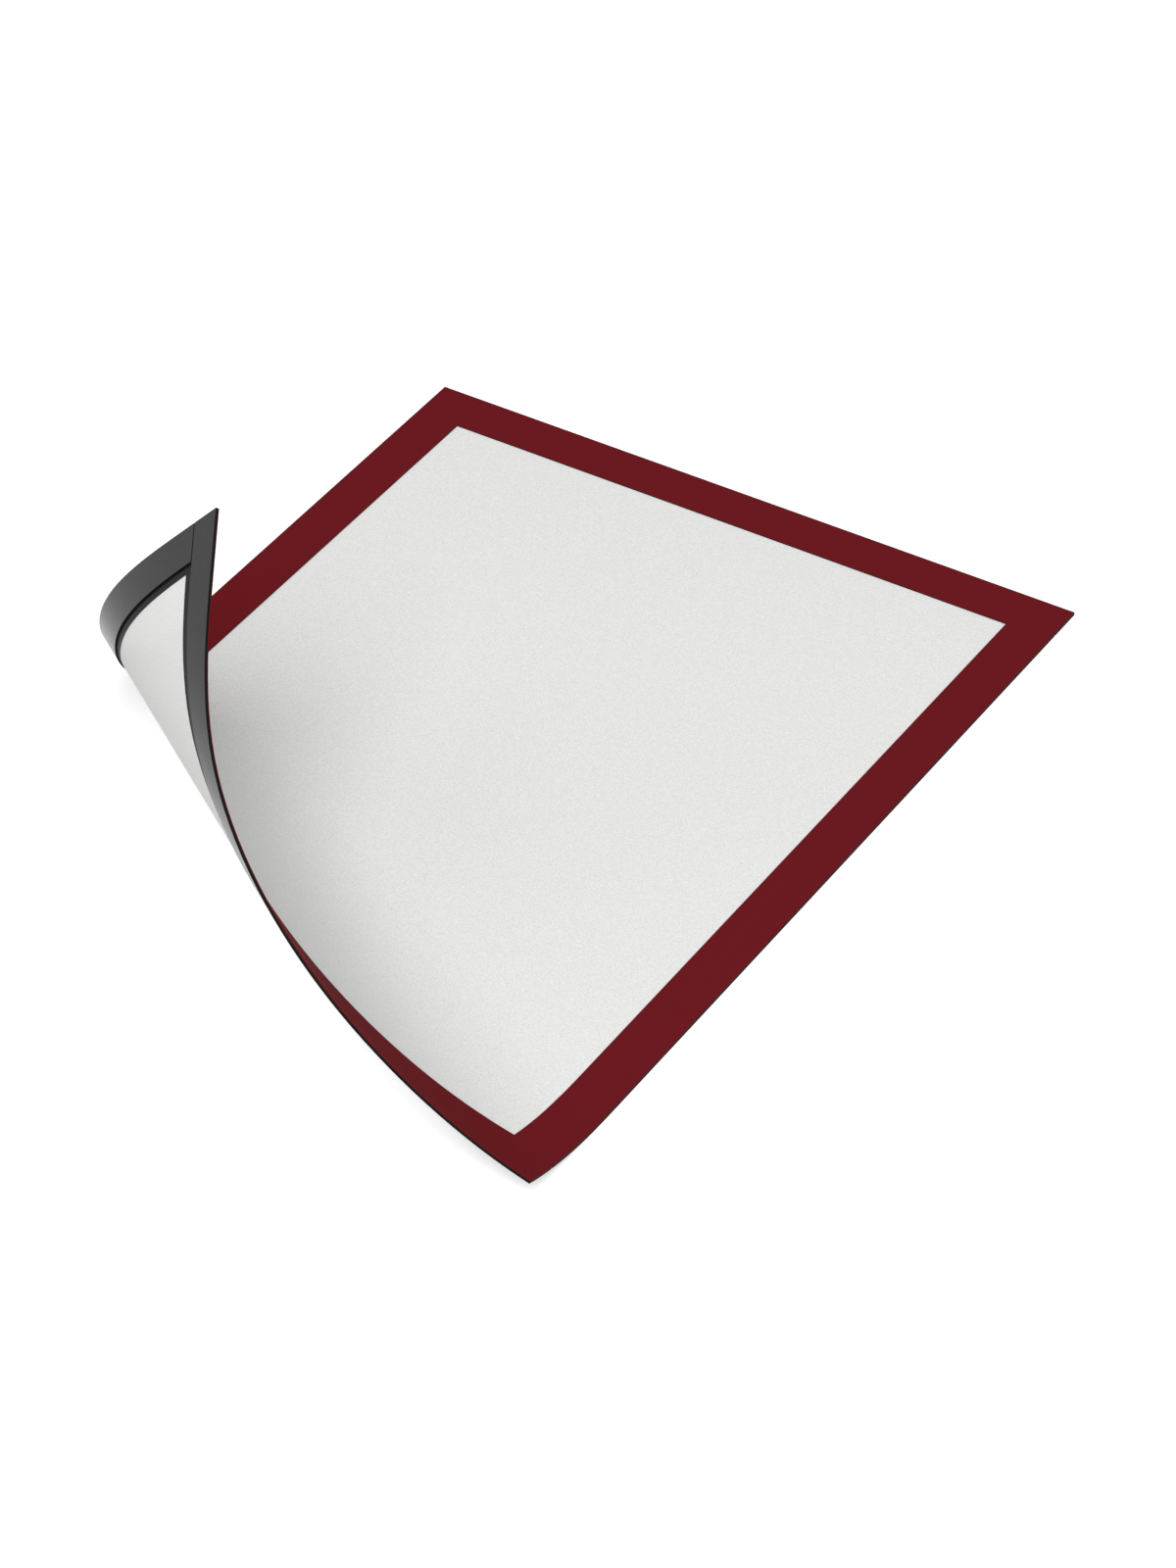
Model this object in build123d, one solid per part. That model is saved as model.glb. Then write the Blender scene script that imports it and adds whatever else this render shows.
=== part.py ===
from build123d import *

import math
import os
from functools import cache, partial

# A flexible magnetic frame for one A4 sheet, lying on its back with one corner peeled up.
# Millimetres. X runs along the ends, Y along the sides, Z out of the front face.
# The origin is the middle of the top strip's back face. The peeled corner is at -X -Y.
# On the sheet, u is the distance from the left edge and v the distance from the peeled end.

# Sheet
SHEET_WIDTH = 236.0
SHEET_LENGTH = 323.0

# Plies, from the back: magnetic strip, its adhesive, printed border; the film is bonded behind the border
STRIP_WIDTH = 12.5
STRIP_THICKNESS = 0.75
ADHESIVE_THICKNESS = 0.12
BORDER_THICKNESS = 0.25
FILM_THICKNESS = 0.15
BOND_THICKNESS = 0.12
FILM_CLEARANCE = 0.30
SEAM_GAP = 0.20
PLY_GAP = 0.02

# The ledge of the border, from the strip's inner edge to the window, which the film's rim is bonded to
SIDE_LEDGE = 3.0
END_LEDGE = 4.0

# The peel: the sheet is bent along straight lines that fan out over it.
# The reach is how far past the sheet's right edge the first line meets the line of the peeled end.
# The rates are degrees of bend per sheet width along the peeled end: where the peel starts, then at
# even steps from the right edge to the tip. The tip itself is straight.
PEEL_REACH = 96.8
FIRST_LINE_ANGLE = 26.6
LAST_LINE_ANGLE = 48.8
BEND_RATES = (0.0, 120.3, 85.2, 104.3, 170.2, 16.7)

# How finely the bend is drawn: flat facets, with a small bend at each of the lines between them
BEND_STEP = 5.0
LEAST_SPAN = 0.10
LINE_SEARCH_STEPS = 40

# Levels above the back face
BORDER_BACK = STRIP_THICKNESS + ADHESIVE_THICKNESS
FRONT_FACE = BORDER_BACK + BORDER_THICKNESS
FILM_FRONT = BORDER_BACK - BOND_THICKNESS
STRIP_LEVELS = (0.0, STRIP_THICKNESS)
ADHESIVE_LEVELS = (STRIP_THICKNESS + PLY_GAP, BORDER_BACK - PLY_GAP)
BORDER_LEVELS = (BORDER_BACK, FRONT_FACE)
FILM_LEVELS = (FILM_FRONT - FILM_THICKNESS, FILM_FRONT)
BOND_LEVELS = (FILM_FRONT + PLY_GAP, BORDER_BACK - PLY_GAP)

# Outlines on the sheet, as (least u, most u, least v, most v)
SIDE_BORDER = STRIP_WIDTH + SIDE_LEDGE
END_BORDER = STRIP_WIDTH + END_LEDGE
FILM_INSET = STRIP_WIDTH + FILM_CLEARANCE
SIDE_STRIP_START = STRIP_WIDTH + SEAM_GAP
SIDE_STRIP_END = SHEET_LENGTH - SIDE_STRIP_START
OUTLINE = (0.0, SHEET_WIDTH, 0.0, SHEET_LENGTH)
WINDOW = (SIDE_BORDER, SHEET_WIDTH - SIDE_BORDER, END_BORDER, SHEET_LENGTH - END_BORDER)
FILM = (FILM_INSET, SHEET_WIDTH - FILM_INSET, FILM_INSET, SHEET_LENGTH - FILM_INSET)
END_STRIP = (0.0, SHEET_WIDTH, 0.0, STRIP_WIDTH)
TOP_STRIP = (0.0, SHEET_WIDTH, SHEET_LENGTH - STRIP_WIDTH, SHEET_LENGTH)
LEFT_STRIP = (0.0, STRIP_WIDTH, SIDE_STRIP_START, SIDE_STRIP_END)
RIGHT_STRIP = (SHEET_WIDTH - STRIP_WIDTH, SHEET_WIDTH, SIDE_STRIP_START, SIDE_STRIP_END)

PEEL_START = SHEET_WIDTH + PEEL_REACH
LEFT_EDGE = -SHEET_WIDTH / 2
PEELED_END = STRIP_WIDTH / 2 - SHEET_LENGTH


def line_angle(start):
    """Angle, in radians, between the peeled end and the bend line that meets it at u = start."""
    share = (PEEL_START - start) / PEEL_START
    return math.radians(FIRST_LINE_ANGLE + (LAST_LINE_ANGLE - FIRST_LINE_ANGLE) * share)


def line_through(u, v):
    """Where the bend line through a point of the sheet meets the line of the peeled end."""
    start = u + v
    for _ in range(LINE_SEARCH_STEPS):
        start = u + v / math.tan(line_angle(start))
    return start


TIP_LINE = line_through(STRIP_WIDTH, SIDE_STRIP_START)
WINDOW_TIP_LINE = line_through(SIDE_BORDER, END_BORDER)
RATE_STEP = (SHEET_WIDTH - TIP_LINE) / (len(BEND_RATES) - 2)
RATE_LINES = [PEEL_START] + [SHEET_WIDTH - RATE_STEP * i for i in range(len(BEND_RATES) - 2)] + [TIP_LINE]
BENDS = math.ceil((PEEL_START - TIP_LINE) / BEND_STEP)
BEND_SPACING = (PEEL_START - TIP_LINE) / BENDS
BEND_LINES = [PEEL_START - BEND_SPACING * i for i in range(BENDS)] + [TIP_LINE]


def bend_rate(start):
    """Degrees of bend per sheet width along the peeled end, at one bend line."""
    for first, last, early, late in zip(RATE_LINES, RATE_LINES[1:], BEND_RATES, BEND_RATES[1:]):
        if start >= last:
            return early + (late - early) * (first - start) / (first - last)
    return 0.0


def bend_angle(line):
    """Degrees that the sheet bends at one of the bend lines."""
    share = 0.5 if line in (PEEL_START, TIP_LINE) else 1.0
    return bend_rate(line) * BEND_SPACING * share / SHEET_WIDTH


def line_plane(start):
    """Plane on the flat sheet's front face, with its X axis along a bend line."""
    angle = line_angle(start)
    origin = (LEFT_EDGE + start, PEELED_END, FRONT_FACE)
    return Plane(origin=origin, x_dir=(-math.cos(angle), math.sin(angle), 0), z_dir=(0, 0, 1))


def fold(start, turn):
    """Motion that bends the sheet up by some degrees about one line."""
    place = line_plane(start).location
    return place * Location((0, 0, 0), (turn, 0, 0)) * place.inverse()


@cache
def bent_line(start):
    """Plane that a line of the fan takes on the bent sheet. At a bend it leans halfway between the facets."""
    place = Location()
    for line in BEND_LINES:
        if line > start:
            place = place * fold(line, bend_angle(line))
        elif line == start:
            place = place * fold(line, bend_angle(line) / 2)
    return Plane(place * line_plane(start).location)


def span(outline, start):
    """Where a bend line enters and leaves an outline, measured along the line."""
    least_u, most_u, least_v, most_v = outline
    angle = line_angle(start)
    near = max(least_v / math.sin(angle), (start - most_u) / math.cos(angle))
    far = min(most_v / math.sin(angle), (start - least_u) / math.cos(angle))
    return near, far


def near_band(outline, start):
    """Where a bend line runs from an outline's near edge to the window."""
    return span(outline, start)[0], span(WINDOW, start)[0]


def far_band(outline, start):
    """Where a bend line runs from the window to an outline's far edge."""
    return span(WINDOW, start)[1], span(outline, start)[1]


def corner_line(u, v):
    """The bend line through a corner of an outline, or the first line for a corner that lies flat."""
    peeled = v < (PEEL_START - u) * math.tan(line_angle(PEEL_START))
    return line_through(u, v) if peeled else PEEL_START


def corner_lines(outline):
    """Bend lines through the corners of an outline."""
    least_u, most_u, least_v, most_v = outline
    return [corner_line(u, v) for u in (least_u, most_u) for v in (least_v, most_v)]


def section(place, near, far, levels):
    """Cut through one ply along a bend line, square to the sheet."""
    low, high = (level - FRONT_FACE for level in levels)
    corners = [(near, 0, low), (far, 0, low), (far, 0, high), (near, 0, high)]
    return Wire.make_polygon([place.from_local_coords(corner) for corner in corners])


def bent_ply(spans, first, last, turns, levels):
    """One ply between two lines of the fan. Its edges turn at the lines in turns."""
    inside = [line for line in BEND_LINES + turns if last < line < first]
    sections = []
    for start in [first] + sorted(set(inside), reverse=True) + [last]:
        near, far = spans(start)
        far = max(far, near + LEAST_SPAN)
        sections.append(section(bent_line(start), near, far, levels))
    return Solid.make_loft(sections, ruled=True)


def peeled_plate(outline, levels):
    """The stretch of a rectangular ply that is peeled up."""
    turns = corner_lines(outline)
    return bent_ply(partial(span, outline), max(turns), min(turns), turns, levels)


def peeled_ring(outline, levels):
    """The peeled stretch of a ply with the window in it: two bands that meet past the window's corner."""
    turns = corner_lines(outline) + corner_lines(WINDOW)
    tip = bent_ply(partial(span, outline), WINDOW_TIP_LINE, min(turns), turns, levels)
    near_side = bent_ply(partial(near_band, outline), PEEL_START, WINDOW_TIP_LINE, turns, levels)
    far_side = bent_ply(partial(far_band, outline), PEEL_START, WINDOW_TIP_LINE, turns, levels)
    return tip.fuse(near_side, far_side)


def flat_plate(outline, levels):
    """The stretch of a rectangular ply that lies flat, up to the first bend line."""
    least_u, most_u, least_v, most_v = outline
    corner = Location((LEFT_EDGE + least_u, PEELED_END + least_v, levels[0]))
    plate = corner * Box(most_u - least_u, most_v - least_v, levels[1] - levels[0], align=Align.MIN)
    reach = SHEET_WIDTH + SHEET_LENGTH
    peel = Box(2 * reach, reach, reach, align=(Align.CENTER, Align.MIN, Align.CENTER))
    return plate - line_plane(PEEL_START).location * peel


def flat_ring(outline, levels):
    """The flat stretch of a ply with the window in it."""
    return flat_plate(outline, levels) - flat_plate(WINDOW, levels)


def strip_pieces():
    """The magnetic strips, each with its adhesive. The side strips are split where the peel starts."""
    pieces = {}
    for name, levels in (("strip", STRIP_LEVELS), ("adhesive", ADHESIVE_LEVELS)):
        pieces[f"top_{name}"] = flat_plate(TOP_STRIP, levels)
        pieces[f"end_{name}"] = peeled_plate(END_STRIP, levels)
        pieces[f"left_{name}_flat"] = flat_plate(LEFT_STRIP, levels)
        pieces[f"left_{name}_peeled"] = peeled_plate(LEFT_STRIP, levels)
        pieces[f"right_{name}_flat"] = flat_plate(RIGHT_STRIP, levels)
        pieces[f"right_{name}_peeled"] = peeled_plate(RIGHT_STRIP, levels)
    return pieces


def sheet_pieces():
    """The border, the film in its window and the bond between them, split where the peel starts."""
    return {
        "border_flat": flat_ring(OUTLINE, BORDER_LEVELS),
        "border_peeled": peeled_ring(OUTLINE, BORDER_LEVELS),
        "film_bond_flat": flat_ring(FILM, BOND_LEVELS),
        "film_bond_peeled": peeled_ring(FILM, BOND_LEVELS),
        "window_film_flat": flat_plate(FILM, FILM_LEVELS),
        "window_film_peeled": peeled_plate(FILM, FILM_LEVELS),
    }


os.makedirs("parts", exist_ok=True)
for node, solid in {**sheet_pieces(), **strip_pieces()}.items():
    export_step(solid, f"parts/{node}.step")
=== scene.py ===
import math
from functools import cache, partial

import bmesh
import bpy
from mathutils import Matrix, Vector


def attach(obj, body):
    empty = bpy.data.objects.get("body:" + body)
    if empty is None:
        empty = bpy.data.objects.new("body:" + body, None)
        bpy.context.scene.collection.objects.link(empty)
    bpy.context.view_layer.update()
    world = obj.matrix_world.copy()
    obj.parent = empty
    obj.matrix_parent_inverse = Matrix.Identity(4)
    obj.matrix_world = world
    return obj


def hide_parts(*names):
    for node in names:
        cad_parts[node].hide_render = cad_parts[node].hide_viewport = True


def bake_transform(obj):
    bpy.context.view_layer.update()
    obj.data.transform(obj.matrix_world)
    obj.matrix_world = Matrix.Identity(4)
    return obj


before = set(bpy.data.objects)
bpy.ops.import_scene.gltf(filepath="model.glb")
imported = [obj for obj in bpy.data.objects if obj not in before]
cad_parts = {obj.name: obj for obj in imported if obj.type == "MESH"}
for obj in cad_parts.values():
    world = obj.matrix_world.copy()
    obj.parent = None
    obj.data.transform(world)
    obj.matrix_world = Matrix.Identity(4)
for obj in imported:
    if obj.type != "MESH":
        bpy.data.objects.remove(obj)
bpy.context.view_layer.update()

# Looks of a flexible magnetic frame with one corner peeled up.
# Sizes are in millimetres, as in the part, and MM turns them into Blender's metres.
# On the sheet, u is the distance from the left edge and v the distance from the peeled end.

MM = 0.001

# Sheet and plies, by the part's own values
SHEET_WIDTH = 236.0
SHEET_LENGTH = 323.0
STRIP_WIDTH = 12.5
STRIP_THICKNESS = 0.75
ADHESIVE_THICKNESS = 0.12
BORDER_THICKNESS = 0.25
FILM_THICKNESS = 0.15
BOND_THICKNESS = 0.12
FILM_CLEARANCE = 0.30
SEAM_GAP = 0.20
PLY_GAP = 0.02
SIDE_LEDGE = 3.0
END_LEDGE = 4.0

# How much wider than in the part the dark lines around the film and between the strips are drawn
FILM_RELIEF = 0.50
SEAM_RELIEF = 0.35

# The peel, by the part's own values
PEEL_REACH = 96.8
FIRST_LINE_ANGLE = 26.6
LAST_LINE_ANGLE = 48.8
BEND_RATES = (0.0, 120.3, 85.2, 104.3, 170.2, 16.7)
BEND_STEP = 5.0
LINE_SEARCH_STEPS = 40

# Meshes: the step along the bend lines, the rows on each side of the window, the least angle of a sharp edge,
# and the distance within which corners are joined
ROW_STEP = 9.0
RING_ROWS = 2
SHARP_ANGLE = math.radians(35)
WELD_DISTANCE = 0.0005

# Each corner of a mesh keeps its place on the sheet under this name, so that the grain follows the sheet
SHEET_PLACE = "sheet_place"

# How far the direction across the line where the peel starts leans upwards
BLEND_TILT = math.radians(35)

# Camera, solved from the photo's straight edges, with its far limit in metres
CAMERA_TARGET = (33.51, -148.44, 1.12)
CAMERA_AZIMUTH = math.radians(-31.78)
CAMERA_ELEVATION = math.radians(38.45)
CAMERA_DISTANCE = 1896.7
CAMERA_LENS = 143.18
CAMERA_SENSOR = 36.0
CAMERA_REACH = 20.0

# Stage, in metres: an even sky, a grey floor that the camera sees lifted to white, and the lamps' aim
SKY_STRENGTH = 0.35
FLOOR_GREY = 0.7
FLOOR_LIFT = 0.5
FLOOR_REACH = 6.0
FLOOR_DEPTH = 0.0001
LAMP_AIM = (0, -0.15, 0)

# Grain of the materials: its detail, the range of its noise that they use,
# and how many times longer than wide the streaks on a strip are
GRAIN_DETAIL = 3.0
GRAIN_RANGE = (0.3, 0.7)
STREAK_LENGTH = 25

# Share of the light that doesn't pass straight through the film
FILM_OPACITY = 0.85

# Which of a ply's two materials a face takes
MAIN, OTHER = 0, 1

# Levels above the back face
BORDER_BACK = STRIP_THICKNESS + ADHESIVE_THICKNESS
FRONT_FACE = BORDER_BACK + BORDER_THICKNESS
FILM_FRONT = BORDER_BACK - BOND_THICKNESS
STRIP_LEVELS = (0.0, STRIP_THICKNESS)
ADHESIVE_LEVELS = (STRIP_THICKNESS + PLY_GAP, BORDER_BACK - PLY_GAP)
BORDER_LEVELS = (BORDER_BACK, FRONT_FACE)
FILM_LEVELS = (FILM_FRONT - FILM_THICKNESS, FILM_FRONT)
BOND_LEVELS = (FILM_FRONT + PLY_GAP, BORDER_BACK - PLY_GAP)

# Outlines on the sheet, as (least u, most u, least v, most v)
SIDE_BORDER = STRIP_WIDTH + SIDE_LEDGE
END_BORDER = STRIP_WIDTH + END_LEDGE
FILM_INSET = STRIP_WIDTH + FILM_CLEARANCE + FILM_RELIEF
SIDE_STRIP_START = STRIP_WIDTH + SEAM_GAP
SIDE_STRIP_END = SHEET_LENGTH - SIDE_STRIP_START
OUTLINE = (0.0, SHEET_WIDTH, 0.0, SHEET_LENGTH)
WINDOW = (SIDE_BORDER, SHEET_WIDTH - SIDE_BORDER, END_BORDER, SHEET_LENGTH - END_BORDER)
FILM = (FILM_INSET, SHEET_WIDTH - FILM_INSET, FILM_INSET, SHEET_LENGTH - FILM_INSET)
END_STRIP = (0.0, SHEET_WIDTH, 0.0, STRIP_WIDTH)
TOP_STRIP = (0.0, SHEET_WIDTH, SHEET_LENGTH - STRIP_WIDTH, SHEET_LENGTH)
SEAM_ENDS = (SIDE_STRIP_START + SEAM_RELIEF, SIDE_STRIP_END - SEAM_RELIEF)
LEFT_STRIP = (0.0, STRIP_WIDTH, *SEAM_ENDS)
RIGHT_STRIP = (SHEET_WIDTH - STRIP_WIDTH, SHEET_WIDTH, *SEAM_ENDS)

PEEL_START = SHEET_WIDTH + PEEL_REACH
LEFT_EDGE = -SHEET_WIDTH / 2
PEELED_END = STRIP_WIDTH / 2 - SHEET_LENGTH


def line_angle(start):
    """Angle between the peeled end and the bend line that meets it at u = start."""
    share = (PEEL_START - start) / PEEL_START
    return math.radians(FIRST_LINE_ANGLE + (LAST_LINE_ANGLE - FIRST_LINE_ANGLE) * share)


def line_through(u, v):
    """Where the bend line through a point of the sheet meets the line of the peeled end."""
    start = u + v
    for _ in range(LINE_SEARCH_STEPS):
        start = u + v / math.tan(line_angle(start))
    return start


TIP_LINE = line_through(STRIP_WIDTH, SIDE_STRIP_START)
WINDOW_TIP_LINE = line_through(SIDE_BORDER, END_BORDER)
RATE_STEP = (SHEET_WIDTH - TIP_LINE) / (len(BEND_RATES) - 2)
RATE_LINES = [PEEL_START] + [SHEET_WIDTH - RATE_STEP * i for i in range(len(BEND_RATES) - 2)] + [TIP_LINE]
BENDS = math.ceil((PEEL_START - TIP_LINE) / BEND_STEP)
BEND_SPACING = (PEEL_START - TIP_LINE) / BENDS
BEND_LINES = [PEEL_START - BEND_SPACING * i for i in range(BENDS)] + [TIP_LINE]


def bend_rate(start):
    """Degrees of bend per sheet width along the peeled end, at one bend line."""
    for first, last, early, late in zip(RATE_LINES, RATE_LINES[1:], BEND_RATES, BEND_RATES[1:]):
        if start >= last:
            return early + (late - early) * (first - start) / (first - last)
    return 0.0


def bend_angle(line):
    """Degrees that the sheet bends at one of the bend lines."""
    share = 0.5 if line in (PEEL_START, TIP_LINE) else 1.0
    return bend_rate(line) * BEND_SPACING * share / SHEET_WIDTH


def line_direction(start):
    """Direction of a bend line on the flat sheet, away from the peeled end."""
    angle = line_angle(start)
    return Vector((-math.cos(angle), math.sin(angle), 0.0))


def line_origin(start):
    """Where a bend line meets the line of the peeled end, on the flat sheet's front face."""
    return Vector((LEFT_EDGE + start, PEELED_END, FRONT_FACE))


def fold(start, turn):
    """Motion that bends the sheet up by some degrees about one line."""
    there = Matrix.Translation(line_origin(start))
    turned = Matrix.Rotation(math.radians(turn), 4, line_direction(start))
    return there @ turned @ there.inverted()


@cache
def bent_place(start):
    """Motion of a line of the fan when the sheet is bent. A bend line takes half of its own bend."""
    place = Matrix.Identity(4)
    for line in BEND_LINES:
        if line > start:
            place = place @ fold(line, bend_angle(line))
        elif line == start:
            place = place @ fold(line, bend_angle(line) / 2)
    return place


def bent_point(start, along, level):
    """A point of the bent sheet, in metres, by its bend line, its place on the line and its level."""
    flat = line_origin(start) + line_direction(start) * along
    flat.z = level
    return bent_place(start) @ flat * MM


def flat_point(u, v, level):
    """A point of the sheet where it lies flat, in metres."""
    return Vector((LEFT_EDGE + u, PEELED_END + v, level)) * MM


def sheet_place(start, along):
    """(u, v) of a place along a bend line."""
    angle = line_angle(start)
    return start - along * math.cos(angle), along * math.sin(angle)


def bent_corner(start, along, level):
    """A mesh corner on the bent sheet: its point in metres, and its place on the sheet in millimetres."""
    return bent_point(start, along, level), (*sheet_place(start, along), level)


def flat_corner(u, v, level):
    """The same for a mesh corner where the sheet lies flat."""
    return flat_point(u, v, level), (u, v, level)


def span(outline, start):
    """Where a bend line enters and leaves an outline, measured along the line."""
    least_u, most_u, least_v, most_v = outline
    angle = line_angle(start)
    near = max(least_v / math.sin(angle), (start - most_u) / math.cos(angle))
    far = min(most_v / math.sin(angle), (start - least_u) / math.cos(angle))
    return near, max(near, far)


def corner_lines(outline):
    """Bend lines through the corners of an outline, or the first line for a corner that lies flat."""
    least_u, most_u, least_v, most_v = outline
    lines = []
    for u in (least_u, most_u):
        for v in (least_v, most_v):
            peeled = v < (PEEL_START - u) * math.tan(line_angle(PEEL_START))
            lines.append(line_through(u, v) if peeled else PEEL_START)
    return lines


def all_lines():
    """Every line of the fan that the meshes have a column on, from the start of the peel to the tip."""
    lines = set(BEND_LINES)
    for outline in (OUTLINE, WINDOW, FILM, END_STRIP, LEFT_STRIP, RIGHT_STRIP):
        lines.update(corner_lines(outline))
    return sorted(lines, reverse=True)


LINES = all_lines()


def lines_between(first, last):
    """The columns from one bend line to another, both included."""
    return [line for line in LINES if last <= line <= first]


def even_rows(near, far, count):
    """Places along a bend line that divide it evenly."""
    return [near + (far - near) * i / count for i in range(count + 1)]


def row_count(outline):
    """How many rows a ply of this outline gets along its bend lines."""
    near, far = span(outline, max(corner_lines(outline)))
    middle_near, middle_far = span(outline, SHEET_WIDTH / 2)
    return max(1, math.ceil(max(far - near, middle_far - middle_near) / ROW_STEP))


def plate_rows(outline, line):
    """Rows of a rectangular ply along one bend line."""
    return even_rows(*span(outline, line), row_count(outline))


def near_rows(outline, line):
    """Rows of a ply with the window in it, from its near edge to the window."""
    return even_rows(span(outline, line)[0], span(WINDOW, line)[0], RING_ROWS)


def far_rows(outline, line):
    """Rows of a ply with the window in it, from the window to its far edge."""
    return even_rows(span(WINDOW, line)[1], span(outline, line)[1], RING_ROWS)


def tip_rows(outline, line):
    """Rows past the window's corner, which carry on those of the near and the far side."""
    corner_near, corner_far = span(outline, WINDOW_TIP_LINE)
    share = (span(WINDOW, WINDOW_TIP_LINE)[0] - corner_near) / (corner_far - corner_near)
    near, far = span(outline, line)
    middle = near + (far - near) * share
    return even_rows(near, middle, RING_ROWS) + even_rows(middle, far, RING_ROWS)[1:]


def add_object(name, data):
    """A new object in the scene."""
    item = bpy.data.objects.new(name, data)
    bpy.context.scene.collection.objects.link(item)
    return item


class Ply:
    """A thin ply with a front face, a back face and walls, gathered face by face.

    Faces and walls take the main or the other material, and a wall that is None is left out.
    """

    def __init__(self, levels):
        self.back, self.front = levels
        self.mesh = bmesh.new()
        self.place = self.mesh.verts.layers.float_vector.new(SHEET_PLACE)

    def face(self, corners, material):
        """A face through corners that are given by point and place."""
        loop = [self.mesh.verts.new(point) for point, _ in corners]
        for vertex, (_, place) in zip(loop, corners):
            vertex[self.place] = place
        self.mesh.faces.new(loop).material_index = material

    def bent(self, lines, rows, front, back, near_wall, far_wall, end_wall):
        """The peeled stretch: columns on bend lines, with rows(line) as the places along each line."""
        for first, last in zip(lines, lines[1:]):
            pairs = list(zip(rows(first), rows(last)))
            for (a, b), (c, d) in zip(pairs, pairs[1:]):
                corners = ((first, a), (last, b), (last, d), (first, c))
                self.face([bent_corner(*corner, self.front) for corner in corners], front)
                self.face([bent_corner(*corner, self.back) for corner in reversed(corners)], back)
            for (a, b), material in ((pairs[0], near_wall), (pairs[-1], far_wall)):
                self.walls(bent_corner, [(first, a), (last, b)], material)
        self.walls(bent_corner, [(lines[-1], along) for along in rows(lines[-1])], end_wall)

    def flat(self, loop, front, back):
        """The flat stretch: one face within a loop of (u, v) points."""
        self.face([flat_corner(*point, self.front) for point in loop], front)
        self.face([flat_corner(*point, self.back) for point in reversed(loop)], back)

    def walls(self, corner, path, material):
        """Walls between the back and the front face along a path. corner makes mesh corners of its places."""
        if material is None:
            return
        for one, other in zip(path, path[1:]):
            low = [corner(*one, self.back), corner(*other, self.back)]
            high = [corner(*other, self.front), corner(*one, self.front)]
            self.face(low + high, material)

    def finish(self, name, materials, *nodes):
        """Joins the faces into one object that stands for its CAD nodes."""
        bmesh.ops.remove_doubles(self.mesh, verts=self.mesh.verts, dist=WELD_DISTANCE * MM)
        bmesh.ops.dissolve_degenerate(self.mesh, edges=self.mesh.edges, dist=WELD_DISTANCE * MM)
        bmesh.ops.recalc_face_normals(self.mesh, faces=self.mesh.faces)
        data = bpy.data.meshes.new(name)
        self.mesh.to_mesh(data)
        self.mesh.free()
        data.shade_smooth()
        data.set_sharp_from_angle(angle=SHARP_ANGLE)
        for material in materials:
            data.materials.append(material)
        piece = add_object(name, data)
        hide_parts(*nodes)
        return piece


def add_plate(ply, outline, front=MAIN, back=MAIN, wall=OTHER):
    """A rectangular ply, flat and peeled."""
    turns = corner_lines(outline)
    if min(turns) < PEEL_START:
        lines = lines_between(max(turns), min(turns))
        ply.bent(lines, partial(plate_rows, outline), front, back, wall, wall, wall)
    if max(turns) == PEEL_START:
        add_flat_plate(ply, outline, front, back, wall)


def add_flat_plate(ply, outline, front, back, wall):
    """The flat stretch of a rectangular ply, which begins at the first bend line or at its own lower edge."""
    least_u, most_u, least_v, most_v = outline
    if min(corner_lines(outline)) < PEEL_START:
        edge = [sheet_place(PEEL_START, along) for along in plate_rows(outline, PEEL_START)]
    else:
        edge = [(most_u, least_v), (least_u, least_v)]
        ply.walls(flat_corner, edge, wall)
    rim = [edge[-1], (least_u, most_v), (most_u, most_v), edge[0]]
    ply.flat(edge + rim[1:3], front, back)
    ply.walls(flat_corner, rim, wall)


def add_ring(ply, outline, front=MAIN, back=OTHER, outer_wall=OTHER, window_wall=OTHER):
    """A ply with the window in it, flat and peeled."""
    sides = lines_between(PEEL_START, WINDOW_TIP_LINE)
    tip = lines_between(WINDOW_TIP_LINE, min(corner_lines(outline)))
    ply.bent(sides, partial(near_rows, outline), front, back, outer_wall, window_wall, None)
    ply.bent(sides, partial(far_rows, outline), front, back, window_wall, outer_wall, None)
    ply.bent(tip, partial(tip_rows, outline), front, back, outer_wall, outer_wall, None)
    add_flat_ring(ply, outline, front, back, outer_wall, window_wall)


def add_flat_ring(ply, outline, front, back, outer_wall, window_wall):
    """The stretch of a ply with the window in it that lies flat."""
    least_u, most_u, _, most_v = outline
    window_left, window_right, _, window_top = WINDOW
    right = [sheet_place(PEEL_START, along) for along in near_rows(outline, PEEL_START)]
    left = [sheet_place(PEEL_START, along) for along in far_rows(outline, PEEL_START)]
    outside = [left[-1], (least_u, most_v), (most_u, most_v), right[0]]
    inside = [right[-1], (window_right, window_top), (window_left, window_top), left[0]]
    ply.flat(left + outside[1:3] + right + inside[1:3], front, back)
    ply.walls(flat_corner, outside, outer_wall)
    ply.walls(flat_corner, inside, window_wall)


# Materials


def add_grain(tree, size, stretch):
    """Noise with grains of about this size in millimetres, stretched along u, v and the thickness."""
    place = tree.nodes.new("ShaderNodeAttribute")
    place.attribute_name = SHEET_PLACE
    scale = tree.nodes.new("ShaderNodeMapping")
    scale.inputs["Scale"].default_value = [1 / (size * side) for side in stretch]
    noise = tree.nodes.new("ShaderNodeTexNoise")
    noise.inputs["Scale"].default_value = 1.0
    noise.inputs["Detail"].default_value = GRAIN_DETAIL
    tree.links.new(place.outputs["Vector"], scale.inputs["Vector"])
    tree.links.new(scale.outputs["Vector"], noise.inputs["Vector"])
    return noise.outputs["Fac"]


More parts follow.
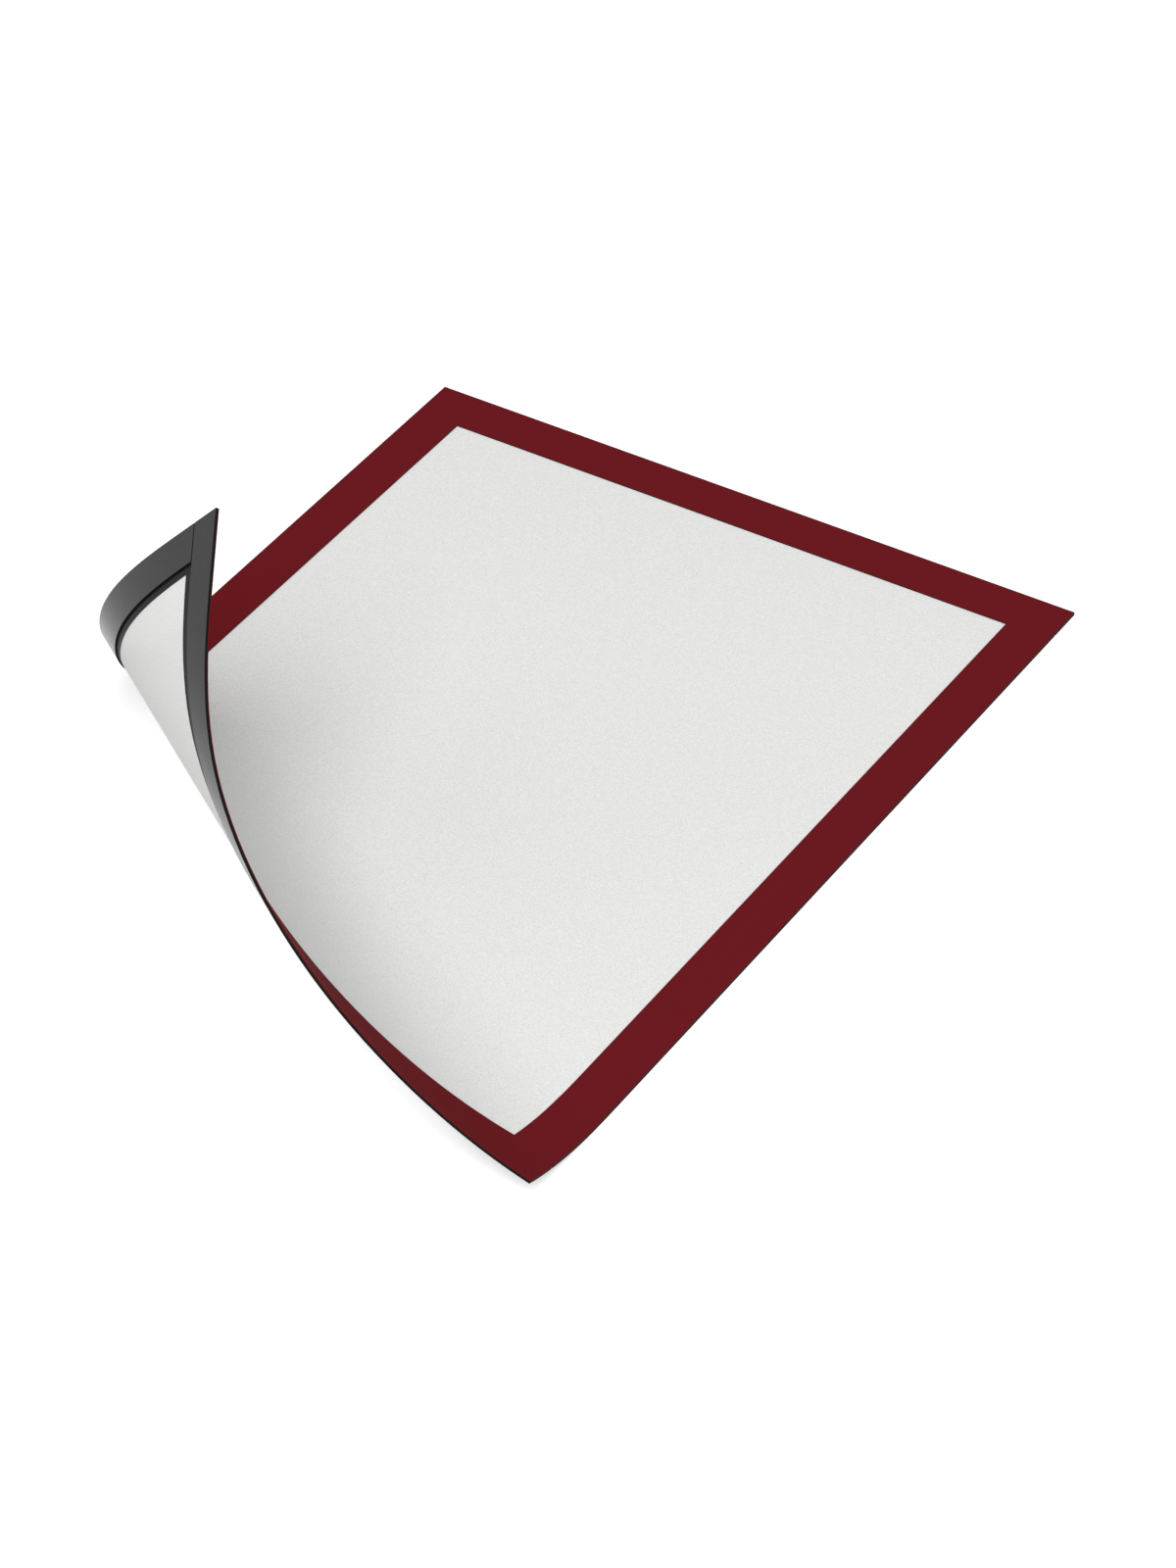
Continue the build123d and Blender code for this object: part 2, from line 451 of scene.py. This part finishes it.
def add_tint(tree, grain, dark, light):
    """A colour between two, by the grain."""
    ramp = tree.nodes.new("ShaderNodeValToRGB")
    for stop, level, colour in zip(ramp.color_ramp.elements, GRAIN_RANGE, (dark, light)):
        stop.position = level
        stop.color = (*colour, 1)
    tree.links.new(grain, ramp.inputs["Fac"])
    return ramp.outputs["Color"]


def add_polish(tree, grain, smooth, rough):
    """A roughness between two, by the grain."""
    spread = tree.nodes.new("ShaderNodeMapRange")
    for socket, level in zip(("From Min", "From Max", "To Min", "To Max"), (*GRAIN_RANGE, smooth, rough)):
        spread.inputs[socket].default_value = level
    tree.links.new(grain, spread.inputs["Value"])
    return spread.outputs["Result"]


def add_relief(tree, grain, height):
    """Fine relief by the grain, with its height in millimetres."""
    bump = tree.nodes.new("ShaderNodeBump")
    bump.inputs["Strength"].default_value = 1.0
    bump.inputs["Distance"].default_value = height * MM
    tree.links.new(grain, bump.inputs["Height"])
    return bump.outputs["Normal"]


def grained_material(name, dark, light, size, roughness, gloss, relief, stretch=(1, 1, 1)):
    """A material whose colour, roughness and relief follow one grain. Size and relief are in millimetres."""
    material = bpy.data.materials.new(name)
    material.use_nodes = True
    tree = material.node_tree
    shader = tree.nodes["Principled BSDF"]
    grain = add_grain(tree, size, stretch)
    tree.links.new(add_tint(tree, grain, dark, light), shader.inputs["Base Color"])
    tree.links.new(add_polish(tree, grain, *roughness), shader.inputs["Roughness"])
    tree.links.new(add_relief(tree, grain, relief), shader.inputs["Normal"])
    shader.inputs["Specular IOR Level"].default_value = gloss
    return material


def grey(level):
    """A neutral colour."""
    return level, level, level


def vinyl_material():
    """Matt dark red vinyl with a fine leathery grain."""
    dark, light = (0.122, 0.0078, 0.0110), (0.143, 0.0104, 0.0142)
    return grained_material(
        "red_vinyl", dark, light,
        size=0.35, roughness=(0.62, 0.78), gloss=0.02, relief=0.005,
    )


def core_and_shade_material():
    """The vinyl's dark core, which shows on its back. On the window's walls the same dark colour is painted
    shade along the window's edge.
    """
    return grained_material(
        "vinyl_core_and_shade", grey(0.006), grey(0.012),
        size=0.6, roughness=(0.65, 0.75), gloss=0.06, relief=0.002,
    )


def film_material():
    """Matt clear film with an anti-glare grain, which scatters enough light to look pale grey."""
    dark, light = (0.77, 0.77, 0.76), (0.91, 0.91, 0.90)
    material = grained_material(
        "matt_film", dark, light,
        size=0.6, roughness=(0.5, 0.7), gloss=0.05, relief=0.045,
    )
    material.node_tree.nodes["Principled BSDF"].inputs["Alpha"].default_value = FILM_OPACITY
    return material


def bonded_film_material():
    """The film's rim, wetted out by its adhesive, so that the dark back of the border shows through."""
    return grained_material(
        "bonded_film", grey(0.009), grey(0.015),
        size=0.45, roughness=(0.45, 0.55), gloss=0.05, relief=0.002,
    )


def magnet_material(name, stretch):
    """Dark ferrite rubber with a soft sheen and faint streaks along the strip."""
    return grained_material(
        name, grey(0.011), grey(0.020), stretch=stretch,
        size=0.35, roughness=(0.19, 0.25), gloss=0.085, relief=0.0015,
    )


def shaded_cut_material():
    """The cut edges of the ferrite rubber: matt, and painted nearly black, darker than the faces, as painted
    shade on the walls.
    """
    return grained_material(
        "magnet_cut_painted_shade", grey(0.005), grey(0.009),
        size=0.3, roughness=(0.65, 0.75), gloss=0.06, relief=0.002,
    )


def adhesive_shade_material():
    """Clear adhesive, painted nearly black as painted shade in the thin gaps between the plies; it shows only
    as a line at the edges.
    """
    return grained_material(
        "adhesive", grey(0.006), grey(0.012),
        size=0.5, roughness=(0.45, 0.55), gloss=0.1, relief=0.001,
    )


# The plies


def blended(piece):
    """Bakes the piece's placement into its mesh. The direction across the line where the peel starts, leaning
    upwards, is worked out but not used.
    """
    along = line_direction(PEEL_START)
    across = Vector((-along.y, along.x, 0)) * math.cos(BLEND_TILT)
    across.z = math.sin(BLEND_TILT)
    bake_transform(piece)


def make_border(vinyl, core):
    """The red border, with the dark core on its back, and the same dark colour on its window's walls as
    painted shade.
    """
    ply = Ply(BORDER_LEVELS)
    # The window's walls take the core's dark colour: painted shade along the window's edge.
    add_ring(ply, OUTLINE, outer_wall=MAIN)
    blended(ply.finish("border", [vinyl, core], "border_flat", "border_peeled"))


def make_film(film, bonded):
    """The film: clear in the window, and dark on the rim that is bonded to the border."""
    ply = Ply(FILM_LEVELS)
    add_plate(ply, WINDOW, wall=None)
    add_ring(ply, FILM, front=OTHER, window_wall=None)
    blended(ply.finish("window_film", [film, bonded], "window_film_flat", "window_film_peeled"))


def make_bond(adhesive):
    """The adhesive between the border and the film's rim, painted nearly black as painted shade."""
    ply = Ply(BOND_LEVELS)
    add_ring(ply, FILM)
    blended(ply.finish("film_bond", [adhesive, adhesive], "film_bond_flat", "film_bond_peeled"))


def strip_plate(outline, levels):
    """A ply in the outline of one strip."""
    ply = Ply(levels)
    add_plate(ply, outline)
    return ply


def make_strips(kind, levels, side_face, end_face, edge):
    """The four strips, or the adhesive on each of them, with materials for the faces and the cut edges. The
    edges' materials are painted nearly black: painted shade.
    """
    for side, outline in (("left", LEFT_STRIP), ("right", RIGHT_STRIP)):
        name = f"{side}_{kind}"
        ply = strip_plate(outline, levels)
        blended(ply.finish(name, [side_face, edge], f"{name}_flat", f"{name}_peeled"))
    end = strip_plate(END_STRIP, levels)
    blended(end.finish(f"end_{kind}_skin", [end_face, edge], f"end_{kind}"))
    top = strip_plate(TOP_STRIP, levels).finish(f"top_{kind}_skin", [end_face, edge], f"top_{kind}")
    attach(top, "sheet")


# Stage


def turn_to(item, direction):
    """Makes a camera or a lamp look along a direction."""
    item.rotation_mode = "QUATERNION"
    item.rotation_quaternion = direction.to_track_quat("-Z", "Y")


def add_camera():
    """The photo's camera."""
    level, down = math.cos(CAMERA_ELEVATION), math.sin(CAMERA_ELEVATION)
    forward = Vector((level * math.sin(CAMERA_AZIMUTH), level * math.cos(CAMERA_AZIMUTH), -down))
    data = bpy.data.cameras.new("camera")
    data.lens = CAMERA_LENS
    data.sensor_width = CAMERA_SENSOR
    data.clip_end = CAMERA_REACH
    camera = add_object("camera", data)
    camera.location = (Vector(CAMERA_TARGET) - forward * CAMERA_DISTANCE) * MM
    turn_to(camera, forward)
    bpy.context.scene.camera = camera


def background_rays(tree):
    """1 for the rays that show the background: the camera's own, and those of gloss and clear film."""
    path = tree.nodes.new("ShaderNodeLightPath")
    total = path.outputs["Is Camera Ray"]
    for kind in ("Is Glossy Ray", "Is Transmission Ray"):
        either = tree.nodes.new("ShaderNodeMath")
        either.operation = "MAXIMUM"
        tree.links.new(total, either.inputs[0])
        tree.links.new(path.outputs[kind], either.inputs[1])
        total = either.outputs["Value"]
    return total


def floor_material():
    """Pale matt grey, lifted to white for the rays that show the background."""
    material = bpy.data.materials.new("pale_floor")
    material.use_nodes = True
    tree = material.node_tree
    shader = tree.nodes["Principled BSDF"]
    shader.inputs["Base Color"].default_value = (*grey(FLOOR_GREY), 1)
    shader.inputs["Roughness"].default_value = 0.8
    shader.inputs["Specular IOR Level"].default_value = 0.1
    shader.inputs["Emission Color"].default_value = (1, 1, 1, 1)
    lift = tree.nodes.new("ShaderNodeMath")
    lift.operation = "MULTIPLY"
    lift.inputs[1].default_value = FLOOR_LIFT
    tree.links.new(background_rays(tree), lift.inputs[0])
    tree.links.new(lift.outputs["Value"], shader.inputs["Emission Strength"])
    return material


def add_floor():
    """A plain pale floor, which keeps the object's shadow."""
    data = bpy.data.meshes.new("floor")
    signs = ((-1, -1), (1, -1), (1, 1), (-1, 1))
    corners = [(x * FLOOR_REACH, y * FLOOR_REACH, -FLOOR_DEPTH) for x, y in signs]
    data.from_pydata(corners, [], [(0, 1, 2, 3)])
    data.materials.append(floor_material())
    add_object("floor", data)


def add_world():
    """Even studio light from all round, and a white backdrop for the camera."""
    world = bpy.data.worlds.new("studio")
    bpy.context.scene.world = world
    world.use_nodes = True
    tree = world.node_tree
    light = tree.nodes["Background"]
    light.inputs["Color"].default_value = (1, 1, 1, 1)
    light.inputs["Strength"].default_value = SKY_STRENGTH
    white = tree.nodes.new("ShaderNodeBackground")
    white.inputs["Color"].default_value = (1, 1, 1, 1)
    mix = tree.nodes.new("ShaderNodeMixShader")
    tree.links.new(background_rays(tree), mix.inputs["Fac"])
    tree.links.new(light.outputs["Background"], mix.inputs[1])
    tree.links.new(white.outputs["Background"], mix.inputs[2])
    tree.links.new(mix.outputs["Shader"], tree.nodes["World Output"].inputs["Surface"])


def add_softbox(name, place, size, power):
    """A large soft lamp, with its place and size in metres and its power in watts."""
    data = bpy.data.lights.new(name, "AREA")
    data.shape = "DISK"
    data.size = size
    data.energy = power
    lamp = add_object(name, data)
    lamp.location = place
    turn_to(lamp, Vector(LAMP_AIM) - Vector(place))
    lamp.visible_glossy = False


make_border(vinyl_material(), core_and_shade_material())
make_film(film_material(), bonded_film_material())
# The adhesive plies are painted nearly black: painted shade in the gaps between the plies.
adhesive = adhesive_shade_material()
make_bond(adhesive)
side_magnet = magnet_material("side_magnet", stretch=(1, STREAK_LENGTH, 1))
end_magnet = magnet_material("end_magnet", stretch=(STREAK_LENGTH, 1, 1))
# The strips' walls are painted nearly black, darker than their faces: painted shade.
make_strips("strip", STRIP_LEVELS, side_magnet, end_magnet, shaded_cut_material())
make_strips("adhesive", ADHESIVE_LEVELS, adhesive, adhesive, adhesive)
add_camera()
add_floor()
add_world()
add_softbox("key", place=(1.2, -2.55, 3.25), size=3.4, power=172)
add_softbox("left_fill", place=(-1.9, -2.2, 2.6), size=2.4, power=12)
bpy.context.scene.view_settings.view_transform = "Standard"
